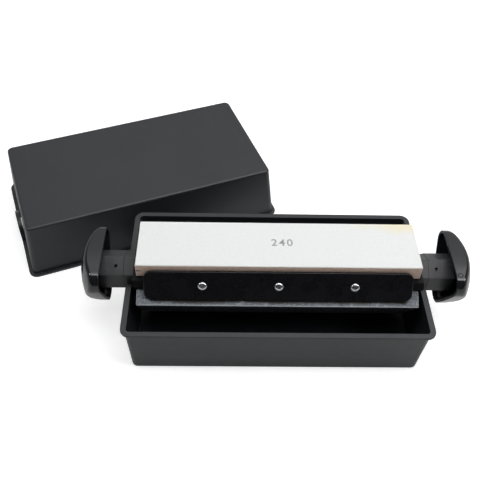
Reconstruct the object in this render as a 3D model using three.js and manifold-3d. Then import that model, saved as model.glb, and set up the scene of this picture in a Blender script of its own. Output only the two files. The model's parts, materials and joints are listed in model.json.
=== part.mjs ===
// Three-sided sharpening stone set: an oil tray, a cover set down beside it, and a
// cradle that clamps three long stones round one axis and turns in the tray's ends.
// Millimetres, +Z up, X along the stones, origin under the middle of the tray.

import * as THREE from 'three';
import { mergeVertices } from 'three/addons/utils/BufferGeometryUtils.js';
import Module from 'manifold-3d';

const wasm = await Module();
wasm.setup();

// Clearances
const SEAT_GAP = 0.3; // air between two pieces that touch
const OVERRUN = 2; // how far a cutter runs past a face

// Stones
const STONE_LENGTH = 292;
const STONE_WIDTH = 61;
const STONE_THICKNESS = 17.8;
const STONE_ARRIS = 0.7; // bevel worn on every edge
const STONE_SPREAD = 13.2; // between the inner edges of two neighbouring stones

// Cradle core
const CORE_LEDGE = 4; // core beyond each end of a stone
const CORE_RIB_WIDTH = 7.4; // flat along each corner, which carries a clamp bar
const CORE_SOCKET_APOTHEM = 15; // hexagonal bore for the arms' spigots

// Clamp bars
const BAR_SETBACK = 8; // stone beyond each end of a bar
const BAR_THICKNESS = 3.5;
const BAR_LAND = 2.5; // square part of the bar's long edge, outside the bevel
const BAR_CORNER = 8;

// Clamp screws
const SCREW_PITCH = 78;
const SCREWS_PER_BAR = 3;
const SCREW_HEAD_RADIUS = 4.75;
const SCREW_HEAD_HEIGHT = 3.1;
const SCREW_HEAD_RIM = 1; // straight side of the pan head
const SCREW_SHANK_RADIUS = 2.1;
const SCREW_LENGTH = 14;
const SCREW_POINT = 2;
const RECESS_SPAN = 5; // across the cross recess
const RECESS_SLOT = 1.1;
const RECESS_DEPTH = 1.7;

// Arms
const ARM_APOTHEM = 17.9; // half across the flats of the hexagonal block
const ARM_BLOCK_LENGTH = 28.5;
const ARM_EDGE = 0.8; // bevel at the block's ends
const ARM_PLAY = 1; // end play between the block's shoulder and the tray's rim
const NECK_APOTHEM = 17.5; // hexagonal neck, whose corners bear in the tray's notch
const SPIGOT_LENGTH = 30;
const SPIGOT_BORE_RADIUS = 10;
const ARM_WEB = 6; // wall that the tie rod's nut pulls on

// Tie rod
const ROD_RADIUS = 3;
const ROD_STUB = 2; // thread beyond the nut
const NUT_APOTHEM = 5;
const NUT_HEIGHT = 5;
const WASHER_RADIUS = 7;
const WASHER_THICKNESS = 1.2;

// Handles
const HANDLE_STANDOFF = 22.2; // tray side of the handle, beyond the arm's shoulder
const HANDLE_DEPTH = 25.3;
const HANDLE_FLAT = 31.2; // axis to each of the three flats
const HANDLE_ROUND = 16; // radius of the three rounded corners
const HANDLE_WALL = 2.8;
const HANDLE_FILLET = 5; // between the flats and the dome
const HANDLE_LIP = 0.7; // rounding of the open edge
const HANDLE_DOME_RADIUS = 73;
const HANDLE_RIB = 2.2;
const HANDLE_RIB_RELIEF = 1.5; // air between the arm's end and the ribs
const STEM_APOTHEM = 10;
const STEM_RELIEF = 1.5; // air between the tie rod and the stem
const PIN_RADIUS = 1.5;
const PIN_SETBACK = 8.8; // from the arm's shoulder
const PIN_SINK = 5; // pin's ends below the arm's faces
const PIN_BEVEL = 0.5;
const GATE_MARK_RADIUS = 2.8; // round moulding mark on one handle
const GATE_MARK_DEPTH = 0.5;
const GATE_MARK_INSET = 3.9; // from the handle's open edge
const GATE_MARK_TURN = THREE.MathUtils.degToRad(8); // round the corner from the top flat

// Tray
const TRAY_WALL = 2.5;
const TRAY_FLOOR = 2.5;
const TRAY_DRAFT = 2.4; // how far each wall leans in from rim to floor
const TRAY_CORNER = 3.5; // inside corner
const TRAY_RIM_WIDTH = 6.4; // wall and flange together
const TRAY_RIM_THICKNESS = 2.6;
const TRAY_EDGE = 3; // round edge under the tray
const TRAY_FILLET = 2; // round corner between floor and wall inside
const RIM_EDGE = 0.4; // bevel on the flange
const END_CLEARANCE = 4.1; // core to the tray's end
const SIDE_CLEARANCE = 27.4; // swing of the stones to the tray's sides
const FLOOR_CLEARANCE = 13.8; // swing of the stones to the tray's floor
const PARTING_DROP = 1; // rim below the turning axis
const NOTCH_LIP = 2.6; // collar round each notch

// Cover
const COVER_WALL = 2.5;
const COVER_DRAFT = 6.5;
const COVER_EDGE = 3;
const COVER_HEADROOM = 15.3; // swing of the stones to the cover's top inside
const COVER_X = -167.5; // where it lies in the picture
const COVER_Y = 176.3;
const COVER_TURN = THREE.MathUtils.degToRad(20.7);

// Facets
const CORNER_STEPS = 5;
const ARC_STEPS = 4;
const ROUND_SEGMENTS = 12; // round each corner of a handle
const ROUND_STEPS = 40;
const SCREW_STEPS = 16;
const FLAT_STEPS = 4;
const DOME_ROWS = 5;
const WELD = 1e-4; // points nearer than this are one

// Worked out from the sizes above
const THIRD = (2 * Math.PI) / 3;
const SIXTH = Math.PI / 3;
const COS_30 = Math.cos(Math.PI / 6);
const SIN_30 = 0.5;
const stoneSeat = (STONE_SPREAD / 2 + (STONE_WIDTH / 2) * SIN_30) / COS_30;
const stoneFace = stoneSeat + STONE_THICKNESS;
const coreInradius = stoneSeat - SEAT_GAP;
const coreCorner = (coreInradius - (CORE_RIB_WIDTH / 2) * COS_30) / SIN_30;
const coreLength = STONE_LENGTH + 2 * CORE_LEDGE;
const barSeat = coreCorner + SEAT_GAP;
const barFace = barSeat + BAR_THICKNESS;
const swingRadius = Math.hypot(stoneFace, STONE_WIDTH / 2);
const axisHeight = TRAY_FLOOR + FLOOR_CLEARANCE + swingRadius;
const trayHeight = axisHeight - PARTING_DROP;
const trayInnerLength = coreLength + 2 * END_CLEARANCE;
const trayInnerWidth = 2 * (swingRadius + SIDE_CLEARANCE);
const rimEnd = trayInnerLength / 2 + TRAY_RIM_WIDTH;
const notchRadius = NECK_APOTHEM / COS_30 + SEAT_GAP;
const armStart = coreLength / 2 + SEAT_GAP;
const shoulder = rimEnd + ARM_PLAY;
const armEnd = shoulder + ARM_BLOCK_LENGTH;
const handleOpen = shoulder + HANDLE_STANDOFF;
const handleApex = handleOpen + HANDLE_DEPTH;
const roundReach = 2 * (HANDLE_FLAT - HANDLE_ROUND); // axis to the centre of a corner's round
const handleCorner = roundReach + HANDLE_ROUND;
const socketApothem = STEM_APOTHEM + SEAT_GAP;
const webOuter = armStart + ARM_WEB;
const washerStart = webOuter + SEAT_GAP;
const nutStart = washerStart + WASHER_THICKNESS + SEAT_GAP;
const rodEnd = nutStart + NUT_HEIGHT + ROD_STUB;
const stemStart = rodEnd + STEM_RELIEF;
const screwBore = SCREW_SHANK_RADIUS + SEAT_GAP;
const coverHeight = COVER_WALL + COVER_HEADROOM + swingRadius + PARTING_DROP;

// Materials
function finish(color, roughness, metalness = 0) {
  return new THREE.MeshStandardMaterial({ color, roughness, metalness });
}
const charcoalPlastic = finish(0x46484c, 0.55);
const armPlastic = finish(0x4b4d50, 0.6);
const corePlastic = finish(0x17181a, 0.5);
const blackGloss = finish(0x0c0c0e, 0.18);
const blackBar = finish(0x141417, 0.42);
const whiteStone = finish(0xebe9e6, 0.9);
const greyStone = finish(0x7f858b, 0.92);
const brownStone = finish(0x8a5f45, 0.9);
const chromedSteel = finish(0xcfd1d3, 0.2, 1);
const zincSteel = finish(0x9fa2a5, 0.4, 1);

// A closed three.js geometry as a solid, and a solid back as a mesh
function solid(geometry) {
  const bare = new THREE.BufferGeometry();
  bare.setAttribute('position', geometry.getAttribute('position').clone());
  if (geometry.index) bare.setIndex(geometry.index.clone());
  const merged = mergeVertices(bare, WELD);
  return new wasm.Manifold(new wasm.Mesh({
    numProp: 3,
    vertProperties: new Float32Array(merged.getAttribute('position').array),
    triVerts: new Uint32Array(merged.index.array),
  }));
}

function node(name, body, material) {
  const mesh = body.getMesh();
  const geometry = new THREE.BufferGeometry();
  geometry.setAttribute('position', new THREE.BufferAttribute(mesh.vertProperties, 3));
  geometry.setIndex(new THREE.BufferAttribute(mesh.triVerts, 1));
  geometry.computeVertexNormals();
  const piece = new THREE.Mesh(geometry, material);
  piece.name = name;
  return piece;
}

// Shape in the Y-Z plane pushed along X from start to end
const alongX = new THREE.Matrix4().makeBasis(
  new THREE.Vector3(0, 1, 0), new THREE.Vector3(0, 0, 1), new THREE.Vector3(1, 0, 0));

function pushX(shape, start, end) {
  const geometry = new THREE.ExtrudeGeometry(shape, {
    depth: end - start, bevelEnabled: false, curveSegments: ROUND_STEPS,
  });
  geometry.applyMatrix4(alongX);
  geometry.translate(start, 0, 0);
  return solid(geometry);
}

function polygon(points) {
  return new THREE.Shape(points.map(([y, z]) => new THREE.Vector2(y, z)));
}

// Regular hexagon with a corner up
function hexagon(apothem) {
  const reach = apothem / COS_30;
  const points = [];
  for (let k = 0; k < 6; k += 1) {
    points.push([reach * Math.sin(k * SIXTH), reach * Math.cos(k * SIXTH)]);
  }
  return polygon(points.reverse());
}

function rodX(radius, start, end, steps = ROUND_STEPS) {
  const geometry = new THREE.CylinderGeometry(radius, radius, end - start, steps);
  geometry.rotateZ(-Math.PI / 2);
  geometry.translate((start + end) / 2, 0, 0);
  return solid(geometry);
}

function boxAt(x0, x1, y0, y1, z0, z1) {
  const geometry = new THREE.BoxGeometry(x1 - x0, y1 - y0, z1 - z0);
  geometry.translate((x0 + x1) / 2, (y0 + y1) / 2, (z0 + z1) / 2);
  return solid(geometry);
}

// Skin over rings with the same number of points, closed at both ends by a fan
function skin(rings, first, last) {
  const count = rings[0].length;
  const points = rings.flat().concat([first, last]);
  const position = new Float32Array(points.flatMap((p) => [p.x, p.y, p.z]));
  const firstAt = points.length - 2;
  const lastAt = points.length - 1;
  const top = (rings.length - 1) * count;
  const index = [];
  for (let i = 0; i < count; i += 1) {
    const next = (i + 1) % count;
    index.push(firstAt, next, i);
    index.push(lastAt, top + i, top + next);
    for (let row = 0; row + 1 < rings.length; row += 1) {
      const a = row * count;
      const b = a + count;
      index.push(a + i, a + next, b + next, a + i, b + next, b + i);
    }
  }
  const geometry = new THREE.BufferGeometry();
  geometry.setAttribute('position', new THREE.BufferAttribute(position, 3));
  geometry.setIndex(index);
  return solid(geometry);
}

// Rounded rectangle at one height, anticlockwise from above
function rectangleRing(length, width, corner, z) {
  const ring = [];
  const corners = [[1, 1], [-1, 1], [-1, -1], [1, -1]];
  corners.forEach(([sx, sy], quarter) => {
    for (let k = 0; k <= CORNER_STEPS; k += 1) {
      const angle = (quarter + k / CORNER_STEPS) * (Math.PI / 2);
      ring.push(new THREE.Vector3(
        sx * (length / 2 - corner) + corner * Math.cos(angle),
        sy * (width / 2 - corner) + corner * Math.sin(angle), z));
    }
  });
  return ring;
}

// Moulded box, open at the top: a profile carried round a rounded rectangle
function mouldedBox(height, wall, floor, draft, edge) {
  const lean = (z) => (-draft * (height - z)) / height;
  const rows = [];
  const outerCorner = TRAY_CORNER + wall;
  for (let k = 0; k <= ARC_STEPS; k += 1) {
    const angle = (k / ARC_STEPS) * (Math.PI / 2);
    const out = wall + lean(edge) - edge * (1 - Math.sin(angle));
    rows.push([out, outerCorner, edge * (1 - Math.cos(angle))]);
  }
  const under = height - TRAY_RIM_THICKNESS;
  const rimCorner = TRAY_CORNER + TRAY_RIM_WIDTH;
  rows.push([wall + lean(under), outerCorner, under]);
  rows.push([TRAY_RIM_WIDTH - RIM_EDGE, rimCorner, under]);
  rows.push([TRAY_RIM_WIDTH, rimCorner, under + RIM_EDGE]);
  rows.push([TRAY_RIM_WIDTH, rimCorner, height - RIM_EDGE]);
  rows.push([TRAY_RIM_WIDTH - RIM_EDGE, rimCorner, height]);
  rows.push([RIM_EDGE, TRAY_CORNER, height]);
  rows.push([0, TRAY_CORNER, height - RIM_EDGE]);
  for (let k = 0; k <= ARC_STEPS; k += 1) {
    const angle = (k / ARC_STEPS) * (Math.PI / 2);
    const out = lean(floor + TRAY_FILLET) - TRAY_FILLET * (1 - Math.cos(angle));
    rows.push([out, TRAY_CORNER, floor + TRAY_FILLET * (1 - Math.sin(angle))]);
  }
  const rings = rows.map(([out, corner, z]) => rectangleRing(
    trayInnerLength + 2 * out, trayInnerWidth + 2 * out, corner, z));
  return skin(rings, new THREE.Vector3(0, 0, 0), new THREE.Vector3(0, 0, floor));
}

// Collared notch for an arm's neck in both end walls, at a height measured on the box
function notchEnds(box, height, wall, centre) {
  let body = box;
  for (const side of [-1, 1]) {
    const inner = trayInnerLength / 2 + wall / 2;
    const [start, end] = side > 0 ? [inner, rimEnd] : [-rimEnd, -inner];
    const collar = rodX(notchRadius + NOTCH_LIP, start, end)
      .translate([0, 0, centre])
      .intersect(boxAt(-shoulder, shoulder, -trayInnerWidth, trayInnerWidth, 0, height));
    body = body.add(collar);
  }
  const cut = rodX(notchRadius, -shoulder - OVERRUN, shoulder + OVERRUN).translate([0, 0, centre]);
  const ends = boxAt(-trayInnerLength / 2 + END_CLEARANCE, trayInnerLength / 2 - END_CLEARANCE,
    -trayInnerWidth, trayInnerWidth, -height, 2 * height);
  return body.subtract(cut.subtract(ends));
}

// Tray that holds the oil; its end walls carry the arms' necks
function makeTray() {
  const box = mouldedBox(trayHeight, TRAY_WALL, TRAY_FLOOR, TRAY_DRAFT, TRAY_EDGE);
  return node('tray', notchEnds(box, trayHeight, TRAY_WALL, axisHeight), charcoalPlastic);
}

// Cover with the same rim, turned over and set down behind the tray
function makeCover() {
  const box = mouldedBox(coverHeight, COVER_WALL, COVER_WALL, COVER_DRAFT, COVER_EDGE);
  const mouth = boxAt(-shoulder - OVERRUN, shoulder + OVERRUN, -notchRadius, notchRadius,
    coverHeight - PARTING_DROP, coverHeight + OVERRUN);
  const ends = boxAt(-trayInnerLength / 2 + END_CLEARANCE, trayInnerLength / 2 - END_CLEARANCE,
    -trayInnerWidth, trayInnerWidth, -coverHeight, 2 * coverHeight);
  const body = notchEnds(box, coverHeight, COVER_WALL, coverHeight - PARTING_DROP)
    .subtract(mouth.subtract(ends));
  const cover = node('cover', body, charcoalPlastic);
  cover.position.set(COVER_X, COVER_Y, coverHeight);
  cover.rotation.set(Math.PI, 0, COVER_TURN, 'ZYX');
  return cover;
}

// Core: a triangular bar with cut corners and a hexagonal bore
function makeCore() {
  const half = CORE_RIB_WIDTH / 2;
  const points = [];
  for (let k = 0; k < 3; k += 1) {
    const turn = SIXTH + k * THIRD;
    for (const side of [-1, 1]) {
      points.push([
        -coreCorner * Math.sin(turn) - side * half * Math.cos(turn),
        coreCorner * Math.cos(turn) - side * half * Math.sin(turn),
      ]);
    }
  }
  let body = pushX(polygon(points), -coreLength / 2, coreLength / 2);
  const bore = pushX(hexagon(CORE_SOCKET_APOTHEM),
    -coreLength / 2 - OVERRUN, coreLength / 2 + OVERRUN);
  body = body.subtract(bore);
  const depth = SCREW_LENGTH - BAR_THICKNESS + SEAT_GAP;
  for (let k = 0; k < 3; k += 1) {
    for (let n = 0; n < SCREWS_PER_BAR; n += 1) {
      const pilot = new THREE.CylinderGeometry(screwBore, screwBore, depth + OVERRUN, SCREW_STEPS);
      pilot.rotateX(Math.PI / 2);
      pilot.translate(screwX(n), 0, coreCorner - depth + (depth + OVERRUN) / 2);
      pilot.rotateX(SIXTH + k * THIRD);
      body = body.subtract(solid(pilot));
    }
  }
  return node('cradle_core', body, corePlastic);
}

function screwX(n) {
  return (n - (SCREWS_PER_BAR - 1) / 2) * SCREW_PITCH;
}

// Stone: a slab with a fine bevel on every edge, flat side on the core
function makeStone(name, material) {
  const half = [STONE_LENGTH / 2, STONE_WIDTH / 2];
  const outline = new THREE.Shape([
    new THREE.Vector2(-half[0], -half[1]), new THREE.Vector2(half[0], -half[1]),
    new THREE.Vector2(half[0], half[1]), new THREE.Vector2(-half[0], half[1]),
  ]);
  const geometry = new THREE.ExtrudeGeometry(outline, {
    depth: STONE_THICKNESS - 2 * STONE_ARRIS,
    bevelEnabled: true,
    bevelThickness: STONE_ARRIS,
    bevelSize: STONE_ARRIS,
    bevelOffset: -STONE_ARRIS,
    bevelSegments: 1,
  });
  geometry.translate(0, 0, stoneSeat + STONE_ARRIS);
  return node(name, solid(geometry), material);
}

// Clamp bar: its bevelled long edges bear on the sides of two stones
function makeBar(name) {
  const sideAt = (out) => (out * COS_30 - STONE_WIDTH / 2 - SEAT_GAP) / SIN_30;
  const inner = sideAt(barSeat);
  const outer = sideAt(barFace);
  const section = polygon([
    [-inner, barSeat], [inner, barSeat], [outer, barFace], [-outer, barFace],
  ]);
  const end = STONE_LENGTH / 2 - BAR_SETBACK;
  const strip = pushX(section, -end - OVERRUN, end + OVERRUN);
  const wide = sideAt(barFace - BAR_LAND);
  const plan = new THREE.Shape();
  plan.moveTo(-end + BAR_CORNER, -wide);
  plan.lineTo(end - BAR_CORNER, -wide);
  plan.absarc(end - BAR_CORNER, -wide + BAR_CORNER, BAR_CORNER, -Math.PI / 2, 0);
  plan.absarc(end - BAR_CORNER, wide - BAR_CORNER, BAR_CORNER, 0, Math.PI / 2);
  plan.absarc(-end + BAR_CORNER, wide - BAR_CORNER, BAR_CORNER, Math.PI / 2, Math.PI);
  plan.absarc(-end + BAR_CORNER, -wide + BAR_CORNER, BAR_CORNER, Math.PI, 1.5 * Math.PI);
  const plate = new THREE.ExtrudeGeometry(plan, {
    depth: BAR_THICKNESS + 2 * OVERRUN, bevelEnabled: false, curveSegments: 2 * ARC_STEPS,
  });
  plate.translate(0, 0, barSeat - OVERRUN);
  let body = strip.intersect(solid(plate));
  for (let n = 0; n < SCREWS_PER_BAR; n += 1) {
    const hole = new THREE.CylinderGeometry(
      screwBore, screwBore, BAR_THICKNESS + 2 * OVERRUN, SCREW_STEPS);
    hole.rotateX(Math.PI / 2);
    hole.translate(screwX(n), 0, barSeat + BAR_THICKNESS / 2);
    body = body.subtract(solid(hole));
  }
  return node(name, body, blackBar);
}

// Pan-head screw with a cross recess, head up, its seat at the origin
function makeScrew(name) {
  const profile = [
    new THREE.Vector2(0, -SCREW_LENGTH),
    new THREE.Vector2(SCREW_SHANK_RADIUS / 2, -SCREW_LENGTH),
    new THREE.Vector2(SCREW_SHANK_RADIUS, -SCREW_LENGTH + SCREW_POINT),
    new THREE.Vector2(SCREW_SHANK_RADIUS, 0),
    new THREE.Vector2(SCREW_HEAD_RADIUS, 0),
  ];
  const crown = SCREW_HEAD_HEIGHT - SCREW_HEAD_RIM;
  for (let k = 0; k <= ARC_STEPS; k += 1) {
    const angle = (k / ARC_STEPS) * (Math.PI / 2);
    profile.push(new THREE.Vector2(
      SCREW_HEAD_RADIUS * Math.cos(angle), SCREW_HEAD_RIM + crown * Math.sin(angle)));
  }
  profile[profile.length - 1].x = 0;
  const turned = new THREE.LatheGeometry(profile, SCREW_STEPS);
  turned.rotateX(Math.PI / 2);
  const bottom = SCREW_HEAD_HEIGHT - RECESS_DEPTH;
  const [span, slot, top] = [RECESS_SPAN / 2, RECESS_SLOT / 2, SCREW_HEAD_HEIGHT + OVERRUN];
  const recess = boxAt(-span, span, -slot, slot, bottom, top)
    .add(boxAt(-slot, slot, -span, span, bottom, top));
  return node(name, solid(turned).subtract(recess), chromedSteel);
}

// Right arm: spigot in the core, neck in the tray's notch, hexagonal block outside
function armSolid() {
  const spigot = pushX(hexagon(CORE_SOCKET_APOTHEM - SEAT_GAP),
    armStart - SPIGOT_LENGTH, armStart + OVERRUN);
  const neck = pushX(hexagon(NECK_APOTHEM), armStart, shoulder + OVERRUN);
  const block = bevelledHexagon(ARM_APOTHEM, shoulder, armEnd, ARM_EDGE);
  const socket = pushX(hexagon(socketApothem), webOuter, armEnd + OVERRUN);
  const relief = rodX(SPIGOT_BORE_RADIUS, armStart - SPIGOT_LENGTH - OVERRUN, armStart);
  const rodHole = rodX(ROD_RADIUS + SEAT_GAP, armStart - OVERRUN, webOuter + OVERRUN, SCREW_STEPS);
  const pinHole = crossHole(PIN_RADIUS + SEAT_GAP, 2 * ARM_APOTHEM);
  return spigot.add(neck).add(block)
    .subtract(socket).subtract(relief).subtract(rodHole).subtract(pinHole);
}

function bevelledHexagon(apothem, start, end, bevel) {
  const middle = pushX(hexagon(apothem), start + bevel, end - bevel);
  const core = pushX(hexagon(apothem - bevel), start, end);
  return wasm.Manifold.hull([core, middle]);
}

// Round hole across the arm, square to its upper front face
function crossHole(radius, length) {
  const hole = new THREE.CylinderGeometry(radius, radius, length + 2 * OVERRUN, SCREW_STEPS);
  hole.rotateX(Math.PI / 2);
  hole.rotateX(Math.PI / 6);
  hole.translate(shoulder + PIN_SETBACK, 0, 0);
  return solid(hole);
}

function makePin(name) {
  const half = ARM_APOTHEM - PIN_SINK;
  const profile = [
    new THREE.Vector2(0, -half),
    new THREE.Vector2(PIN_RADIUS - PIN_BEVEL, -half),
    new THREE.Vector2(PIN_RADIUS, -half + PIN_BEVEL),
    new THREE.Vector2(PIN_RADIUS, half - PIN_BEVEL),
    new THREE.Vector2(PIN_RADIUS - PIN_BEVEL, half),
    new THREE.Vector2(0, half),
  ];
  const pin = new THREE.LatheGeometry(profile, SCREW_STEPS);
  pin.rotateX(Math.PI / 2);
  return node(name, solid(pin), zincSteel);
}

// Handle outline: a triangle with three rounded corners, drawn in by an inset
function handleOutline(inset) {
  const arcs = [];
  for (let k = 0; k < 3; k += 1) {
    const turn = Math.PI / 2 + SIXTH + k * THIRD;
    const arc = [];
    for (let n = 0; n <= ROUND_SEGMENTS; n += 1) {
      const angle = turn + (n / ROUND_SEGMENTS - 1 / 2) * THIRD;
      arc.push([
        roundReach * Math.cos(turn) + (HANDLE_ROUND - inset) * Math.cos(angle),
        roundReach * Math.sin(turn) + (HANDLE_ROUND - inset) * Math.sin(angle),
      ]);
    }
    arcs.push(arc);
  }
  const outline = [];
  arcs.forEach((arc, k) => {
    outline.push(...arc);
    const last = arc[arc.length - 1];
    const next = arcs[(k + 1) % arcs.length][0];
    for (let n = 1; n < FLAT_STEPS; n += 1) {
      const share = n / FLAT_STEPS;
      outline.push([
        last[0] + (next[0] - last[0]) * share,
        last[1] + (next[1] - last[1]) * share,
      ]);
    }
  });
  return outline;
}

// Filled handle form: flats from the open side, a fillet, then the domed end
function handleForm(inset, open) {
  const outline = handleOutline(inset);
  const apex = handleApex - inset;
  const domeRadius = HANDLE_DOME_RADIUS - inset;
  const domeX = (reach) => apex - domeRadius + Math.sqrt(domeRadius ** 2 - reach ** 2);
  const fillet = HANDLE_FILLET;
  const ring = (place) => outline.map(([y, z]) => {
    const reach = Math.hypot(y, z);
    const [x, share] = place(reach);
    return new THREE.Vector3(x, y * share, z * share);
  });
  const rings = [];
  rings.push(ring((reach) => [open, 1 - HANDLE_LIP / reach]));
  rings.push(ring(() => [open + HANDLE_LIP, 1]));
  for (let k = 0; k <= ARC_STEPS; k += 1) {
    const angle = (k / ARC_STEPS) * (Math.PI / 2);
    rings.push(ring((reach) => {
      const drawn = reach - fillet * (1 - Math.cos(angle));
      return [domeX(drawn) - fillet * (1 - Math.sin(angle)), drawn / reach];
    }));
  }
  for (let row = 1; row < DOME_ROWS; row += 1) {
    const share = 1 - row / DOME_ROWS;
    rings.push(ring((reach) => {
      const drawn = (reach - fillet) * share;
      return [domeX(drawn), drawn / reach];
    }));
  }
  return skin(rings, new THREE.Vector3(open, 0, 0), new THREE.Vector3(apex, 0, 0));
}

// Right handle: a domed shell with a hexagonal stem and three ribs inside
function handleSolid(marked) {
  const shell = handleForm(0, handleOpen).subtract(handleForm(HANDLE_WALL, handleOpen - OVERRUN));
  const stem = bevelledHexagon(STEM_APOTHEM, stemStart, handleApex, ARM_EDGE);
  let inside = stem;
  const ribStart = armEnd + HANDLE_RIB_RELIEF;
  for (let k = 0; k < 3; k += 1) {
    const rib = new THREE.BoxGeometry(handleApex - ribStart, HANDLE_RIB, handleCorner);
    rib.translate((ribStart + handleApex) / 2, 0, handleCorner / 2);
    rib.rotateX(SIXTH + k * THIRD);
    inside = inside.add(solid(rib));
  }
  const keep = handleForm(HANDLE_WALL / 2, stemStart - OVERRUN);
  let body = shell.add(inside.intersect(keep)).subtract(crossHole(PIN_RADIUS + SEAT_GAP, HANDLE_FLAT));
  if (marked) {
    const mark = new THREE.CylinderGeometry(
      GATE_MARK_RADIUS, GATE_MARK_RADIUS, GATE_MARK_DEPTH + OVERRUN, SCREW_STEPS);
    mark.rotateX(Math.PI / 2);
    mark.translate(handleOpen + GATE_MARK_INSET, 0,
      HANDLE_ROUND - GATE_MARK_DEPTH + (GATE_MARK_DEPTH + OVERRUN) / 2);
    mark.rotateX(GATE_MARK_TURN);
    mark.translate(0, -roundReach * COS_30, roundReach * SIN_30);
    body = body.subtract(solid(mark));
  }
  return body;
}

// Cradle: everything that turns, built round its own axis
function makeCradle() {
  const cradle = new THREE.Group();
  cradle.position.z = axisHeight;
  cradle.add(makeCore());
  const stones = [
    ['stone_medium', whiteStone], ['stone_coarse', greyStone], ['stone_fine', brownStone],
  ];
  const sides = ['front', 'under', 'back'];
  const places = ['left', 'middle', 'right'];
  for (let k = 0; k < 3; k += 1) {
    const stone = makeStone(...stones[k]);
    stone.rotation.x = k * THIRD;
    cradle.add(stone);
    const clamp = new THREE.Group();
    clamp.rotation.x = SIXTH + k * THIRD;
    clamp.add(makeBar(`clamp_bar_${sides[k]}`));
    for (let n = 0; n < SCREWS_PER_BAR; n += 1) {
      const screw = makeScrew(`clamp_screw_${sides[k]}_${places[n] ?? n}`);
      screw.position.set(screwX(n), 0, barFace + SEAT_GAP);
      clamp.add(screw);
    }
    cradle.add(clamp);
  }
  for (const [side, sign] of [['left', -1], ['right', 1]]) {
    const flip = (body) => (sign < 0 ? body.mirror([1, 0, 0]) : body);
    cradle.add(node(`${side}_arm`, flip(armSolid()), armPlastic));
    cradle.add(node(`${side}_handle`, flip(handleSolid(sign > 0)), blackGloss));
    const pin = makePin(`${side}_handle_pin`);
    pin.position.x = sign * (shoulder + PIN_SETBACK);
    pin.rotation.x = Math.PI / 6;
    cradle.add(pin);
    const washer = rodX(WASHER_RADIUS, washerStart, washerStart + WASHER_THICKNESS, SCREW_STEPS)
      .subtract(rodX(ROD_RADIUS + SEAT_GAP, webOuter, nutStart + OVERRUN, SCREW_STEPS));
    cradle.add(node(`${side}_rod_washer`, flip(washer), zincSteel));
    const nut = pushX(hexagon(NUT_APOTHEM), nutStart, nutStart + NUT_HEIGHT)
      .subtract(rodX(ROD_RADIUS + SEAT_GAP, webOuter, rodEnd, SCREW_STEPS));
    cradle.add(node(`${side}_rod_nut`, flip(nut), zincSteel));
  }
  cradle.add(node('tie_rod', rodX(ROD_RADIUS, -rodEnd, rodEnd, SCREW_STEPS), zincSteel));
  return cradle;
}

const stoneSet = new THREE.Group();
stoneSet.add(makeTray());
stoneSet.add(makeCover());
stoneSet.add(makeCradle());

export default stoneSet;
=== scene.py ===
# %% [markdown]
# A bench sharpening set: three long stones clamped round one turning axis, an oil tray
# below them and the tray's cover set down behind it.
#
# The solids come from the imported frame, at their real size. They could simply be painted,
# but moulded and ground pieces need rounded edges and real finishes to look right. So each
# piece gets its finish first, as a material, and then its fine shape in place of its solid.

import json
from math import asin, cos, hypot, pi, radians, sin, sqrt, tan

import bmesh
import bpy
from mathutils import Matrix, Vector

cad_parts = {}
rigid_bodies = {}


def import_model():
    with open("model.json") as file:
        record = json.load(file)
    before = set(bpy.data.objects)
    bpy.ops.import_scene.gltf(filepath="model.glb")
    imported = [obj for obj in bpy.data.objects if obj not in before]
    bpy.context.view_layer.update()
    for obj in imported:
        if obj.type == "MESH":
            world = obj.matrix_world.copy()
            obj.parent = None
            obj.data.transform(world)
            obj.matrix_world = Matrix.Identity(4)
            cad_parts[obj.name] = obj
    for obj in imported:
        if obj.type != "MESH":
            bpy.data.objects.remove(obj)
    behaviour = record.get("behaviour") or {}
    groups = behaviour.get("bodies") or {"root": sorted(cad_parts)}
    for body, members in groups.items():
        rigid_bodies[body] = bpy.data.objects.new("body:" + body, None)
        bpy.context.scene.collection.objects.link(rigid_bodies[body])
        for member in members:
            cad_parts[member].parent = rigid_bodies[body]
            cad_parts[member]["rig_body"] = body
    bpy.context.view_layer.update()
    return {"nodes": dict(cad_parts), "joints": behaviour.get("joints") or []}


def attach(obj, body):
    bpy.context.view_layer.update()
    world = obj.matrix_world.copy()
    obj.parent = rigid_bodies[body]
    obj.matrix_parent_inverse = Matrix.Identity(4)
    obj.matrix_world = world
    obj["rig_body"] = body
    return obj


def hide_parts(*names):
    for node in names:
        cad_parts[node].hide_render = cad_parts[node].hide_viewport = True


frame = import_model()
MM = 0.001  # the frame is in metres, and most sizes below are in millimetres
print("pieces in the frame:", len(frame["nodes"]))

# %% [markdown]
# The camera stands in front of the set, a little left of its middle, and looks down
# about 48 degrees. Focal length, place and the three angles were found by fitting the
# straight edges of the tray, the stones and the cover, so they are kept as measured.

# %% Camera
SENSOR = 36.0
PICTURE_SIZE = 480
FOCAL_PIXELS = 650.26
CAMERA_PLACE = Vector((-55.54, -446.74, 618.28)) * MM
CAMERA_TURN = radians(1.99)
CAMERA_PITCH = radians(48.23)
CAMERA_ROLL = radians(-2.11)


def camera_axes(turn, pitch, roll):
    """Right, up and back of a camera turned from +Y, pitched down and rolled."""
    ahead = Vector((sin(turn) * cos(pitch), cos(turn) * cos(pitch), -sin(pitch)))
    right = Vector((cos(turn), -sin(turn), 0))
    down = ahead.cross(right)
    rolled_right = cos(roll) * right + sin(roll) * down
    rolled_down = -sin(roll) * right + cos(roll) * down
    return rolled_right, -rolled_down, -ahead


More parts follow.
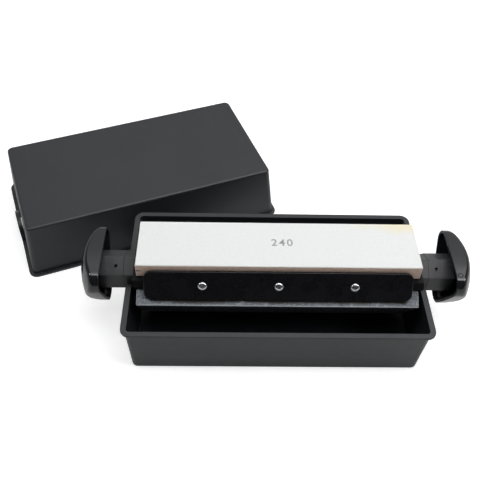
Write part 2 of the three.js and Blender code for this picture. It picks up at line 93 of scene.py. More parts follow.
lens = bpy.data.cameras.new("picture_camera")
lens.sensor_fit = "HORIZONTAL"
lens.sensor_width = SENSOR
lens.lens = FOCAL_PIXELS * SENSOR / PICTURE_SIZE
camera = bpy.data.objects.new("picture_camera", lens)
bpy.context.scene.collection.objects.link(camera)
camera.matrix_world = Matrix.Translation(CAMERA_PLACE) @ Matrix(
    camera_axes(CAMERA_TURN, CAMERA_PITCH, CAMERA_ROLL)).transposed().to_4x4()
bpy.context.scene.camera = camera
print(f"lens {lens.lens:.1f} mm")

# %% [markdown]
# Colours are written as sRGB hex, as a paint chart gives them, but shader sockets
# hold linear light. One function turns hex to linear. A second one adds a node with
# its settings and links, so that a material reads as a short list.

# %% Colour and node helpers
# Sockets of the Mix node when it mixes colours
MIX_FACTOR, MIX_A, MIX_B, MIX_COLOUR = 0, 6, 7, 2


def linear(hex_colour):
    """Linear RGBA of an sRGB colour written as #rrggbb."""
    channels = [int(hex_colour[i:i + 2], 16) / 255 for i in (1, 3, 5)]
    return [c / 12.92 if c <= 0.04045 else ((c + 0.055) / 1.055) ** 2.4 for c in channels] + [1]


def add(tree, kind, settings=None, inputs=None):
    """A new node. An input is a value for its socket, or the socket that feeds it."""
    new = tree.nodes.new(kind)
    for key, value in (settings or {}).items():
        setattr(new, key, value)
    for socket, value in (inputs or {}).items():
        if isinstance(value, bpy.types.NodeSocket):
            tree.links.new(value, new.inputs[socket])
        else:
            new.inputs[socket].default_value = value
    return new


def new_material(name):
    """An empty material, and the object coordinates that patterns use."""
    material = bpy.data.materials.new(name)
    material.use_nodes = True
    tree = material.node_tree
    tree.nodes.clear()
    place = add(tree, "ShaderNodeTexCoord").outputs["Object"]
    return material, tree, place


def per_metre(size_mm):
    """Texture scale at which one feature is size_mm long."""
    return 1 / (size_mm * MM)


def finish_material(tree, shader):
    """Links a shader to the material's output."""
    add(tree, "ShaderNodeOutputMaterial", inputs={"Surface": shader.outputs[0]})


print("#808080 in linear light:", round(linear("#808080")[0], 3))

# %% [markdown]
# The tray and the cover are injection moulded from black ABS. The mould was spark
# eroded, which leaves a fine satin grain, so a light shows as a broad soft sheen. The
# flow of the plastic leaves faint patches, and handling leaves scuffs that are glossier
# or duller than the rest. One flat grey would do from afar. Three noises, for colour,
# gloss and grain, also hold close up.

# %% Satin ABS
ABS_IOR = 1.53


def moulded_abs():
    GRAIN, GRAIN_DEPTH = 0.5, 0.05  # the real grain is 0.1 mm wide, drawn coarser to show
    PATCH, SCUFF = 45, 9
    material, tree, place = new_material("satin_black_abs")
    patches = add(tree, "ShaderNodeTexNoise", inputs={
        "Vector": place, "Scale": per_metre(PATCH), "Detail": 3, "Roughness": 0.55})
    colour = add(tree, "ShaderNodeMix", {"data_type": "RGBA"}, {
        MIX_FACTOR: patches.outputs["Fac"],
        MIX_A: linear("#191c20"), MIX_B: linear("#23272c")})
    scuffs = add(tree, "ShaderNodeTexNoise", inputs={
        "Vector": place, "Scale": per_metre(SCUFF), "Detail": 8, "Roughness": 0.7})
    roughness = add(tree, "ShaderNodeMapRange", inputs={
        "Value": scuffs.outputs["Fac"], "From Min": 0.3, "From Max": 0.7,
        "To Min": 0.33, "To Max": 0.45})
    grain = add(tree, "ShaderNodeTexNoise", inputs={
        "Vector": place, "Scale": per_metre(GRAIN), "Detail": 2})
    bump = add(tree, "ShaderNodeBump", inputs={
        "Height": grain.outputs["Fac"], "Strength": 0.25, "Distance": GRAIN_DEPTH * MM})
    finish_material(tree, add(tree, "ShaderNodeBsdfPrincipled", inputs={
        "Base Color": colour.outputs[MIX_COLOUR], "Roughness": roughness.outputs["Result"],
        "IOR": ABS_IOR, "Normal": bump.outputs["Normal"]}))
    return material


satin_abs = moulded_abs()
print(satin_abs.name, len(satin_abs.node_tree.nodes), "nodes")

# %% [markdown]
# The arms and the core are glass-filled nylon, the arms grey and the core black. Glass
# fibres come up to the surface, which makes it matte and leaves short pale streaks
# along the flow. A noise stretched along X draws the streaks, and a slow one gathers
# them in patches. Arms and core share the recipe, each with its own colours and sheen.

# %% Glass-filled nylon
def glass_filled_nylon(name, dark, pale, roughness, sheen):
    FIBRE, FIBRE_DEPTH = 0.6, 0.04  # fibres are 0.01 mm thick, drawn coarser to show
    STREAK = 0.12  # a streak is as wide as this share of its length along X
    PATCH = 12
    NYLON_IOR = 1.53
    material, tree, place = new_material(name)
    along = add(tree, "ShaderNodeMapping", inputs={
        "Vector": place, "Scale": (STREAK, 1, 1)})
    fibres = add(tree, "ShaderNodeTexNoise", inputs={
        "Vector": along.outputs["Vector"], "Scale": per_metre(FIBRE), "Detail": 3})
    patches = add(tree, "ShaderNodeTexNoise", inputs={
        "Vector": place, "Scale": per_metre(PATCH), "Detail": 4, "Roughness": 0.6})
    shade = add(tree, "ShaderNodeMath", {"operation": "MULTIPLY"}, {
        0: fibres.outputs["Fac"], 1: patches.outputs["Fac"]})
    spread = add(tree, "ShaderNodeMapRange", inputs={
        "Value": shade.outputs["Value"], "From Min": 0.12, "From Max": 0.4})
    colour = add(tree, "ShaderNodeMix", {"data_type": "RGBA"}, {
        MIX_FACTOR: spread.outputs["Result"], MIX_A: linear(dark), MIX_B: linear(pale)})
    bump = add(tree, "ShaderNodeBump", inputs={
        "Height": fibres.outputs["Fac"], "Strength": 0.3, "Distance": FIBRE_DEPTH * MM})
    finish_material(tree, add(tree, "ShaderNodeBsdfPrincipled", inputs={
        "Base Color": colour.outputs[MIX_COLOUR], "Roughness": roughness,
        "IOR": NYLON_IOR, "Specular IOR Level": sheen, "Normal": bump.outputs["Normal"]}))
    return material


nylon = glass_filled_nylon("grey_glass_filled_nylon", "#28292b", "#38393c", 0.45, 0.5)
black_nylon = glass_filled_nylon("black_glass_filled_nylon", "#040405", "#0a0a0b", 0.5, 0.15)
print(nylon.name, "and", black_nylon.name)

# %% [markdown]
# The handles are ABS from a polished mould: black and glossy, with sharp reflections
# that only waver a little where the plastic shrank over the ribs. The colour is even, so
# the noises only move the gloss, for dust and finger marks, and the slope of the surface.

# %% Polished ABS
def polished_abs():
    WAVE, WAVE_DEPTH = 14, 0.3
    DUST = 1.2
    material, tree, place = new_material("polished_black_abs")
    waves = add(tree, "ShaderNodeTexNoise", inputs={
        "Vector": place, "Scale": per_metre(WAVE), "Detail": 1})
    dust = add(tree, "ShaderNodeTexNoise", inputs={
        "Vector": place, "Scale": per_metre(DUST), "Detail": 6, "Roughness": 0.75})
    roughness = add(tree, "ShaderNodeMapRange", inputs={
        "Value": dust.outputs["Fac"], "From Min": 0.35, "From Max": 0.75,
        "To Min": 0.07, "To Max": 0.16})
    bump = add(tree, "ShaderNodeBump", inputs={
        "Height": waves.outputs["Fac"], "Strength": 0.3, "Distance": WAVE_DEPTH * MM})
    finish_material(tree, add(tree, "ShaderNodeBsdfPrincipled", inputs={
        "Base Color": linear("#131518"), "Roughness": roughness.outputs["Result"],
        "IOR": ABS_IOR, "Normal": bump.outputs["Normal"]}))
    return material


gloss_abs = polished_abs()
print(gloss_abs.name, len(gloss_abs.node_tree.nodes), "nodes")

# %% [markdown]
# The clamp bars are flat steel, stoved with black enamel. The coat is semi-gloss, and
# its skin has the faint dimples of sprayed paint. The bars are handled at each change of
# stone, so slow smears move the gloss. The steel itself doesn't show, so the material is
# a paint and not a metal.

# %% Black enamel
def black_enamel():
    DIMPLE, DIMPLE_DEPTH = 1.6, 0.05
    SMEAR = 20
    material, tree, place = new_material("black_enamel")
    dimples = add(tree, "ShaderNodeTexNoise", inputs={
        "Vector": place, "Scale": per_metre(DIMPLE), "Detail": 1})
    bump = add(tree, "ShaderNodeBump", inputs={
        "Height": dimples.outputs["Fac"], "Strength": 0.2, "Distance": DIMPLE_DEPTH * MM})
    smears = add(tree, "ShaderNodeTexNoise", inputs={
        "Vector": place, "Scale": per_metre(SMEAR), "Detail": 5, "Roughness": 0.65})
    roughness = add(tree, "ShaderNodeMapRange", inputs={
        "Value": smears.outputs["Fac"], "From Min": 0.3, "From Max": 0.7,
        "To Min": 0.22, "To Max": 0.34})
    finish_material(tree, add(tree, "ShaderNodeBsdfPrincipled", inputs={
        "Base Color": linear("#09090d"), "Roughness": roughness.outputs["Result"],
        "IOR": 1.5, "Specular IOR Level": 0.35, "Normal": bump.outputs["Normal"]}))
    return material


enamel = black_enamel()
print(enamel.name, len(enamel.node_tree.nodes), "nodes")

# %% [markdown]
# A sharpening stone is grit fired with a ceramic bond. Its surface is all small
# grains and pores, so it is fully matte, and the grit's size sets how coarse it looks.
# One recipe serves all stones: a base colour, grains of another shade, pores, and one patch of
# another colour at a given place. The white stone has a warm cloud at its back right corner and a
# dirty nick at its left end. On the grey stone the patch is painted shade: a dark band along the
# front bar, where the bar casts its shadow. The grey stone's rounded edges are paler. The patch is
# worked out from a place on the stone rather than drawn in an image, so that it stays on the stone
# however the stone is turned.

# %% Fired grit
def fired_grit(name, base, grain, stain_and_shade, grain_mm, contrast, roughness,
               stain_and_shade_at=(0, 0, 0), half=(0, 0, 0), run=(0.4, 1.7, 1), reach=22):
    """Grit with one patch, of soiling or of painted shade, that fills a box round the given place and
    fades out within reach of it.

    The box has the given half sizes in mm. Along each axis the patch fades run times as soon.
    """
    RAGGED = 30  # size of the waves in the stain's outline
    PORE_DEPTH = 0.12  # of a grain's size
    material, tree, place = new_material(name)
    # The patch is a real soiling on the white stone and painted shade on the grey one.
    stain_and_shade_waves = add(tree, "ShaderNodeTexNoise", inputs={
        "Vector": place, "Scale": per_metre(RAGGED), "Detail": 5, "Roughness": 0.6})
    beyond = place
    for operation, other in (("SUBTRACT", Vector(stain_and_shade_at) * MM), ("ABSOLUTE", (0, 0, 0)),
                             ("SUBTRACT", Vector(half) * MM), ("MAXIMUM", (0, 0, 0)),
                             ("MULTIPLY", run)):
        beyond = add(tree, "ShaderNodeVectorMath", {"operation": operation}, {
            0: beyond, 1: other}).outputs["Vector"]
    away = add(tree, "ShaderNodeVectorMath", {"operation": "LENGTH"}, {0: beyond})
    ragged = add(tree, "ShaderNodeMath", {"operation": "MULTIPLY_ADD"}, {
        0: stain_and_shade_waves.outputs["Fac"], 1: 2 * reach * MM, 2: away.outputs["Value"]})
    stain_and_shade_share = add(tree, "ShaderNodeMapRange", {"interpolation_type": "SMOOTHSTEP"}, {
        "Value": ragged.outputs["Value"], "From Min": reach * MM,
        "From Max": 2 * reach * MM, "To Min": 1, "To Max": 0})
    grains = add(tree, "ShaderNodeTexVoronoi", inputs={
        "Vector": place, "Scale": per_metre(grain_mm)})
    tone = add(tree, "ShaderNodeSeparateColor", inputs={"Color": grains.outputs["Color"]})
    grain_share = add(tree, "ShaderNodeMapRange", inputs={
        "Value": tone.outputs["Red"], "From Min": 1 - contrast, "From Max": 1})
    clean = add(tree, "ShaderNodeMix", {"data_type": "RGBA"}, {
        MIX_FACTOR: grain_share.outputs["Result"], MIX_A: linear(base), MIX_B: linear(grain)})
    colour = add(tree, "ShaderNodeMix", {"data_type": "RGBA"}, {
        MIX_FACTOR: stain_and_shade_share.outputs["Result"],
        MIX_A: clean.outputs[MIX_COLOUR], MIX_B: linear(stain_and_shade)})
    pores = add(tree, "ShaderNodeTexNoise", inputs={
        "Vector": place, "Scale": per_metre(2 * grain_mm), "Detail": 6, "Roughness": 0.7})
    bump = add(tree, "ShaderNodeBump", inputs={
        "Height": pores.outputs["Fac"], "Strength": 0.5, "Distance": PORE_DEPTH * grain_mm * MM})
    finish_material(tree, add(tree, "ShaderNodeBsdfPrincipled", inputs={
        "Base Color": colour.outputs[MIX_COLOUR], "Roughness": roughness,
        "IOR": 1.5, "Specular IOR Level": 0.25, "Normal": bump.outputs["Normal"]}))
    return material


white_grit = fired_grit("white_alumina", "#dfe1e0", "#d4d6d5", "#e1d9c2", 0.5, 0.3, 0.9,
                        stain_and_shade_at=(138, 30, 112), run=(0.35, 1.3, 1), reach=25)
bare_grit = fired_grit("unground_alumina", "#dec4b4", "#bfa797", "#0c0908", 0.8, 0.4, 0.92,
                       stain_and_shade_at=(-143, -30.5, 103.5), half=(1.8, 0, 0),
                       run=(1, 1, 1), reach=2.8)
# The dark band along the front bar is painted shade: the shadow that the bar casts on the stone.
grey_grit_and_bar_shade = fired_grit("silicon_carbide_and_bar_shade", "#666b71", "#9ba0a5", "#2c2822", 1.1, 0.42, 0.88,
                       stain_and_shade_at=(0, -47.3, 77), half=(130, 0, 0), run=(1, 1, 1),
                      reach=4.4)
# The grey stone's rounded edges take this paler grey.
pale_edge_grit = fired_grit("pale_edge_silicon_carbide", "#a9aeb3", "#c3c8cc", "#a9aeb3", 1.1, 0.3, 0.8)
brown_grit = fired_grit("brown_alumina", "#8a5f45", "#6d4833", "#94694c", 0.5, 0.4, 0.9)
print(white_grit.name, len(white_grit.node_tree.nodes), "nodes")

# %% [markdown]
# The screws are chromium plated and the hidden rod, nuts, washers and pins are zinc
# plated. Both are metals, so the tint sits in the base colour: chromium is pale and
# nearly a mirror, zinc duller with blotches where the plating bath left crystals.

# %% Plated steel
def chromed_steel():
    HAZE = 1.5
    material, tree, place = new_material("chromed_steel")
    haze = add(tree, "ShaderNodeTexNoise", inputs={
        "Vector": place, "Scale": per_metre(HAZE), "Detail": 3})
    roughness = add(tree, "ShaderNodeMapRange", inputs={
        "Value": haze.outputs["Fac"], "To Min": 0.12, "To Max": 0.24})
    finish_material(tree, add(tree, "ShaderNodeBsdfPrincipled", inputs={
        "Base Color": linear("#d3d5d8"), "Metallic": 1,
        "Roughness": roughness.outputs["Result"]}))
    return material


def zinc_plated_steel():
    CRYSTAL = 1.8
    material, tree, place = new_material("zinc_plated_steel")
    blotches = add(tree, "ShaderNodeTexVoronoi", inputs={
        "Vector": place, "Scale": per_metre(CRYSTAL)})
    tone = add(tree, "ShaderNodeSeparateColor", inputs={"Color": blotches.outputs["Color"]})
    colour = add(tree, "ShaderNodeMix", {"data_type": "RGBA"}, {
        MIX_FACTOR: tone.outputs["Green"],
        MIX_A: linear("#9da1a6"), MIX_B: linear("#b4b8bc")})
    finish_material(tree, add(tree, "ShaderNodeBsdfPrincipled", inputs={
        "Base Color": colour.outputs[MIX_COLOUR], "Metallic": 1, "Roughness": 0.38}))
    return material


chrome = chromed_steel()
zinc = zinc_plated_steel()
print(chrome.name, "and", zinc.name)

# %% [markdown]
# The print on the stone is screen ink. It sinks into the pores, so it is matte and
# breaks up a little. Noise as fine as the pores mixes worn ink with fresh ink.

# %% Grey ink
def screen_ink():
    PORE = 0.7
    material, tree, place = new_material("grey_screen_ink")
    pores = add(tree, "ShaderNodeTexNoise", inputs={
        "Vector": place, "Scale": per_metre(PORE), "Detail": 4, "Roughness": 0.7})
    worn = add(tree, "ShaderNodeMapRange", inputs={
        "Value": pores.outputs["Fac"], "From Min": 0.45, "From Max": 0.65})
    colour = add(tree, "ShaderNodeMix", {"data_type": "RGBA"}, {
        MIX_FACTOR: worn.outputs["Result"],
        MIX_A: linear("#8c8d90"), MIX_B: linear("#b3b4b6")})
    finish_material(tree, add(tree, "ShaderNodeBsdfPrincipled", inputs={
        "Base Color": colour.outputs[MIX_COLOUR], "Roughness": 0.85}))
    return material


grey_ink = screen_ink()
print(grey_ink.name, len(grey_ink.node_tree.nodes), "nodes")

# %% [markdown]
# The set stands on white paper. Lit by these lamps alone it would come out grey, and
# stronger lamps would spoil the stones. So the paper keeps a pale colour of its own and
# glows a little where the camera sees it. It comes out white and still darkens under the
# set. Reflections see a weaker glow, since black plastic mirrors the paper as it is.

# %% Paper floor
FLOOR_HALF = 6.0  # in metres, far past what the camera sees
GLOW_SEEN, GLOW_MIRRORED = 0.6, 0.05


def paper():
    material, tree, place = new_material("white_paper")
    seen = add(tree, "ShaderNodeLightPath")
    mirrored = add(tree, "ShaderNodeMath", {"operation": "MAXIMUM"}, {
        0: seen.outputs["Is Glossy Ray"], 1: seen.outputs["Is Transmission Ray"]})
    faint = add(tree, "ShaderNodeMath", {"operation": "MULTIPLY"}, {
        0: mirrored.outputs["Value"], 1: GLOW_MIRRORED})
    strength = add(tree, "ShaderNodeMath", {"operation": "MULTIPLY_ADD"}, {
        0: seen.outputs["Is Camera Ray"], 1: GLOW_SEEN, 2: faint.outputs["Value"]})
    sheet = add(tree, "ShaderNodeBsdfDiffuse", inputs={"Color": linear("#dcdcdc")})
    glow = add(tree, "ShaderNodeEmission", inputs={"Strength": strength.outputs["Value"]})
    finish_material(tree, add(tree, "ShaderNodeAddShader", inputs={
        0: sheet.outputs[0], 1: glow.outputs[0]}))
    return material


floor_mesh = bpy.data.meshes.new("floor")
floor_mesh.from_pydata([(way_x * FLOOR_HALF, way_y * FLOOR_HALF, 0) for way_x, way_y in
                        ((-1, -1), (1, -1), (1, 1), (-1, 1))], [], [(0, 1, 2, 3)])
floor_mesh.materials.append(paper())
floor = bpy.data.objects.new("floor", floor_mesh)
bpy.context.scene.collection.objects.link(floor)
print("floor", 2 * FLOOR_HALF, "m square")

# %% [markdown]
# The plastics are black, so almost all that the eye sees on them is the studio in
# their gloss. A plain lamp gives an even patch there, but a real softbox is brightest
# towards one edge. So each large lamp can be graded by nodes of its own, which also end
# its light along an edge that runs aslant.

# %% Softboxes
def softbox(name, size, place, target, radiance):
    """A rectangular white light of the given brightness, aimed at a point, in metres."""
    light = bpy.data.lights.new(name, "AREA")
    light.shape = "RECTANGLE"
    light.size, light.size_y = size
    light.energy = radiance * pi * size[0] * size[1]
    lamp = bpy.data.objects.new(name, light)
    bpy.context.scene.collection.objects.link(lamp)
    lamp.location = place
    lamp.rotation_euler = (Vector(target) - Vector(place)).to_track_quat("-Z", "Y").to_euler()
    return lamp


def graded(lamp, base, rise, aslant=0, fall=0):
    """Brightens a lamp along its own Y, most near its far edge, where it stops.

    That edge runs aslant across X, and the base falls along X.
    """
    POWER = 6  # how late along Y the lamp gets brighter
    EDGE = 0.04  # share of the lamp's length over which the light stops
    lamp.data.use_nodes = True
    tree = lamp.data.node_tree
    tree.nodes.clear()
    across = add(tree, "ShaderNodeSeparateXYZ", inputs={
        "Vector": add(tree, "ShaderNodeNewGeometry").outputs["Parametric"]})
    run = add(tree, "ShaderNodeMath", {"operation": "MULTIPLY_ADD"}, {
        0: across.outputs["X"], 1: aslant, 2: across.outputs["Y"]})
    curve = add(tree, "ShaderNodeMath", {"operation": "POWER"}, {
        0: run.outputs["Value"], 1: POWER})
    level = add(tree, "ShaderNodeMath", {"operation": "MULTIPLY_ADD"}, {
        0: across.outputs["X"], 1: -fall, 2: base})
    strength = add(tree, "ShaderNodeMath", {"operation": "MULTIPLY_ADD"}, {
        0: curve.outputs["Value"], 1: rise, 2: level.outputs["Value"]})
    lit = add(tree, "ShaderNodeMapRange", inputs={
        "Value": run.outputs["Value"], "From Min": 1, "From Max": 1 + EDGE,
        "To Min": 1, "To Max": 0})
    stopped = add(tree, "ShaderNodeMath", {"operation": "MULTIPLY"}, {
        0: strength.outputs["Value"], 1: lit.outputs["Result"]})
    emission = add(tree, "ShaderNodeEmission", inputs={"Strength": stopped.outputs["Value"]})
    add(tree, "ShaderNodeOutputLight", inputs={"Surface": emission.outputs[0]})


print(f"a softbox of brightness 1 takes {pi:.2f} W per square metre")

# %% [markdown]
# A large softbox hangs overhead and a little behind. Its bright front edge draws the
# pale line at the handles' front corners. A bank behind the set puts the sheen on the
# handles' sides and brightens upwards, up to where the softbox starts. Two small bright
# lamps at the sides set a white spot on each handle's corner.

# %% Lamps
OVERHEAD_SIZE, OVERHEAD_HEIGHT = (1.47, 1.35), 1.35
OVERHEAD_MIDDLE = (0.115, 0.165)
overhead = softbox("overhead", OVERHEAD_SIZE, (*OVERHEAD_MIDDLE, OVERHEAD_HEIGHT),
                   (*OVERHEAD_MIDDLE, 0), 1)
overhead.rotation_euler = (0, 0, pi)  # its bright edge to the front
graded(overhead, 2.36, 5.2, aslant=0.28, fall=1.42)

RIGHT_GRIP, LEFT_GRIP = (0.2, 0, 0.1), (-0.2, 0, 0.1)
BANK_WIDTH, BANK_DISTANCE = 2.4, 1.65
BANK_LOW, BANK_HIGH = radians(24), radians(56)
bank_middle = (BANK_LOW + BANK_HIGH) / 2
bank_height = 2 * BANK_DISTANCE * tan((BANK_HIGH - BANK_LOW) / 2)
bank_place = Vector(RIGHT_GRIP) + BANK_DISTANCE * Vector((0, cos(bank_middle), sin(bank_middle)))
bank = softbox("back_bank", (BANK_WIDTH, bank_height), bank_place, RIGHT_GRIP, 1)
graded(bank, 0.7, 0.7, fall=0.25)

softbox("right_side", (0.4, 0.4), (1.3, -0.4, 1.2), RIGHT_GRIP, 13)
softbox("left_side", (0.25, 0.25), (-1.2, -0.15, 1.25), LEFT_GRIP, 18)

# %% [markdown]
# The rest of the studio is the world's colour by direction. The room in front is dim,
# which keeps the bars and the core black. A white backdrop low behind the set gives the
# round edges their pale rims. The camera itself sees plain white.

# %% Room
DIM_FRONT, LIT_BACK, BACKDROP = 0.05, 0.2, 0.75

world = bpy.data.worlds.new("studio")
bpy.context.scene.world = world
world.use_nodes = True
sky = world.node_tree
sky.nodes.clear()
sky_path = add(sky, "ShaderNodeLightPath")
sky_place = add(sky, "ShaderNodeTexCoord")
sky_axes = add(sky, "ShaderNodeSeparateXYZ", inputs={"Vector": sky_place.outputs["Generated"]})
room = add(sky, "ShaderNodeMapRange", {"interpolation_type": "SMOOTHSTEP"}, {
    "Value": sky_axes.outputs["Y"], "From Min": -0.9, "From Max": 0.3,
    "To Min": DIM_FRONT, "To Max": LIT_BACK})
low = add(sky, "ShaderNodeMapRange", {"interpolation_type": "SMOOTHSTEP"}, {
    "Value": sky_axes.outputs["Z"], "From Min": 0.1, "From Max": 0.4, "To Min": 1, "To Max": 0})
far = add(sky, "ShaderNodeMapRange", {"interpolation_type": "SMOOTHSTEP"}, {
    "Value": sky_axes.outputs["Y"], "From Min": -0.5, "From Max": 0.1})
backdrop = add(sky, "ShaderNodeMath", {"operation": "MULTIPLY"}, {
    0: low.outputs["Result"], 1: far.outputs["Result"]})
sky_strength = add(sky, "ShaderNodeMath", {"operation": "MULTIPLY_ADD"}, {
    0: backdrop.outputs["Value"], 1: BACKDROP, 2: room.outputs["Result"]})
sky_light = add(sky, "ShaderNodeBackground", inputs={
    "Color": linear("#ffffff"), "Strength": sky_strength.outputs["Value"]})
sky_white = add(sky, "ShaderNodeBackground", inputs={"Color": linear("#ffffff")})
sky_mix = add(sky, "ShaderNodeMixShader", inputs={
    0: sky_path.outputs["Is Camera Ray"], 1: sky_light.outputs[0], 2: sky_white.outputs[0]})
add(sky, "ShaderNodeOutputWorld", inputs={"Surface": sky_mix.outputs[0]})
bpy.context.scene.view_settings.view_transform = "Standard"
print("room: from", DIM_FRONT, "in front to", LIT_BACK + BACKDROP, "at the backdrop")

# %% [markdown]
# A solid from the frame has exact corners, while a moulded or ground edge always has
# a small round that catches the light. A shown piece is either a copy of its solid with
# the flat triangles joined, or the same form made again with finer steps. Both then get
# smooth shading and normals weighted towards the large faces, so that flats stay flat to
# the eye. The stones also get rounded edges from a bevel modifier; the pieces made again
# have their rounds in their own steps, and the other copies have them in their solids.

# %% From a mesh to a finished piece
SAME_PLACE = 1e-6  # in metres


def body_of(node):
    """The body that a node of the frame rides on."""
    return frame["nodes"][node]["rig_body"]


def copied(node):
    """Mesh of a node with shared corners, and with flat triangles joined to faces."""
    FLAT = radians(0.6)  # neighbours that turn by less than this are one face
    mesh = frame["nodes"][node].data.copy()
    mesh.name = node + "_shape"
    mesh.materials.clear()
    build = bmesh.new()
    build.from_mesh(mesh)
    bmesh.ops.remove_doubles(build, verts=build.verts, dist=SAME_PLACE)
    bmesh.ops.dissolve_limit(build, angle_limit=FLAT, verts=build.verts, edges=build.edges)
    build.to_mesh(mesh)
    build.free()
    return mesh


def dress(mesh, node, materials, edge=0, sharp=35, edge_slot=-1):
    """Shows a mesh in place of a node, with rounded edges and smooth shading.

    The rounds take the material edge_slot, or that of the faces beside them at -1.
    """
    for material in materials:
        mesh.materials.append(material)
    mesh.polygons.foreach_set("use_smooth", [True] * len(mesh.polygons))
    mesh.set_sharp_from_angle(angle=radians(sharp))
    piece = bpy.data.objects.new(node + "_finished", mesh)
    bpy.context.scene.collection.objects.link(piece)
    if edge:
        rounding = piece.modifiers.new("edge_round", "BEVEL")
        rounding.width = edge * MM
        rounding.segments = 3
        rounding.limit_method = "ANGLE"
        rounding.angle_limit = radians(sharp)
        rounding.material = edge_slot
    normals = piece.modifiers.new("flat_faces", "WEIGHTED_NORMAL")
    normals.keep_sharp = True
    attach(piece, body_of(node))
    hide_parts(node)
    return piece


print("the tray's solid:", len(frame["nodes"]["tray"].data.polygons), "triangles")

# %% [markdown]
# The turning parts lie round one axis along X. Its height and the places of the solids'
# faces are measured on the frame, so that the finished pieces stay where their solids
# are. The other sizes are the ones that the solids were made with.

# %% Sizes of the turning parts
SIXTH = radians(60)
THIRD = radians(120)
UP = Vector((0, 0, 1))

turn_joint = next(joint for joint in frame["joints"] if joint["name"] == "cradle_turn")
AXIS_HEIGHT = turn_joint["pos_m"][2] / MM


def farthest(node, direction):
    """How far a node's solid reaches from the turning axis along a direction, in mm."""
    axis = Vector((0, 0, AXIS_HEIGHT))
    return max((corner.co / MM - axis).dot(direction)
               for corner in frame["nodes"][node].data.vertices)


ARM_START = 150.3
SHOULDER = 161.5
ARM_END = 190
WEB_END = 156.3
SPIGOT_LENGTH = 30
PIN_X = SHOULDER + 8.8
PIN_HOLE = 1.8
TOUCH_GAP = 0.3  # solids that touch keep this gap
STONE_TOP = AXIS_HEIGHT + farthest("stone_medium", UP)
SCREW_SEAT = farthest("clamp_bar_front", Matrix.Rotation(SIXTH, 3, "X") @ UP) + TOUCH_GAP
print(f"axis at {AXIS_HEIGHT:.4f}, top stone at {STONE_TOP:.4f}, screws at {SCREW_SEAT:.4f} mm")

# %% [markdown]
# The arms, the handles and the screw heads are made again. Each is a stack of rings with
# the same number of points, joined by bands of faces. A subdivided or turned primitive
# would be quicker, but wouldn't end exactly on the solids' faces. A closed piece either
# ends in a middle point at both ends, or comes back to its first ring, as a tube does.
# Holes and ribs are then cut and joined with Boolean modifiers, whose result is kept.

# %% Rings, bands and cuts
def banded(name, rings, ends=None):
    """Mesh over rings of points in mm: closed by two end points, or round to its start."""
    count = len(rings[0])
    points = [point for ring in rings for point in ring]
    faces = []
    pairs = len(rings) if ends is None else len(rings) - 1
    for row in range(pairs):
        here, after = row * count, ((row + 1) % len(rings)) * count
        for k in range(count):
            nxt = (k + 1) % count
            faces.append((here + k, here + nxt, after + nxt, after + k))
    if ends is not None:
        points += ends
        first, last = len(points) - 2, len(points) - 1
        top = (len(rings) - 1) * count
        for k in range(count):
            nxt = (k + 1) % count
            faces.append((first, nxt, k))
            faces.append((last, top + k, top + nxt))
    mesh = bpy.data.meshes.new(name)
    mesh.from_pydata([Vector(point) * MM for point in points], [], faces)
    build = bmesh.new()
    build.from_mesh(mesh)
    bmesh.ops.recalc_face_normals(build, faces=build.faces)
    build.to_mesh(mesh)
    build.free()
    return mesh


def combined(mesh, others, operation):
    """The mesh with closed meshes joined to it or cut out of it, without empty faces."""
    made = [bpy.data.objects.new("combining", shape) for shape in [mesh] + others]
    for shape in made:
        bpy.context.scene.collection.objects.link(shape)
    for tool in made[1:]:
        step = made[0].modifiers.new("combine", "BOOLEAN")
        step.operation, step.solver, step.object = operation, "EXACT", tool
    ready = made[0].evaluated_get(bpy.context.evaluated_depsgraph_get())
    result = bpy.data.meshes.new_from_object(ready)
    result.name = mesh.name
    for shape in made:
        bpy.data.objects.remove(shape)
    build = bmesh.new()
    build.from_mesh(result)
    bmesh.ops.dissolve_degenerate(build, dist=SAME_PLACE, edges=build.edges)
    build.to_mesh(result)
    build.free()
    return result


def circle(radius, steps):
    """Points (y, z) round the X axis."""
    return [(radius * cos(2 * pi * k / steps), radius * sin(2 * pi * k / steps))
            for k in range(steps)]


def at_x(outline, x):
    return [(x, y, z) for y, z in outline]


def pin_hole(name, radius, reach):
    """Closed rod across the arm, square to its upper front face."""
    rod = banded(name, [at_x(circle(radius, 32), -reach), at_x(circle(radius, 32), reach)],
                 ends=[(-reach, 0, 0), (reach, 0, 0)])
    rod.transform(Matrix.Translation((PIN_X * MM, 0, 0)) @ Matrix.Rotation(pi / 6, 4, "X")
                  @ Matrix.Rotation(-pi / 2, 4, "Y"))
    return rod


def place_on_side(mesh, side):
    """Moves a right-hand shape to the turning axis, and mirrors it for the left."""
    if side == "left":
        mesh.transform(Matrix.Scale(-1, 4, (1, 0, 0)))
        mesh.flip_normals()
    mesh.transform(Matrix.Translation((0, 0, AXIS_HEIGHT * MM)))
    return mesh


print(f"a hole of 32 sides is out of round by {PIN_HOLE * (1 - cos(pi / 32)):.3f} mm")

# %% [markdown]
# An arm is a hexagon with a corner up all along: a spigot inside the core, a neck that
# turns in the tray's notch, and the block that shows. The ridges are rounded, as in any
# mould, and the cross hole takes the handle's pin. As each stretch has its own size, the
# arm is one tube of hexagons, out over the outside and back through the bore.

# %% Arms
RIDGE_STEPS = 4


def hexagon(apothem, ridge=0.7):
    """Outline (y, z) of a hexagon, a corner up, with rounded corners."""
    centre = (apothem - ridge) / cos(pi / 6)
    outline = []
    for corner in range(6):
        middle = pi / 2 + corner * SIXTH
        for k in range(RIDGE_STEPS + 1):
            angle = middle + (k / RIDGE_STEPS - 0.5) * SIXTH
            outline.append((centre * cos(middle) + ridge * cos(angle),
                            centre * sin(middle) + ridge * sin(angle)))
    return outline


def round_bore(radius):
    """Circle with a hexagon's number of points, its first point at the same angle."""
    steps = 6 * (RIDGE_STEPS + 1)
    start = pi / 2 - SIXTH / 2
    return [(radius * cos(start + 2 * pi * (k + 0.5) / steps),
             radius * sin(start + 2 * pi * (k + 0.5) / steps)) for k in range(steps)]


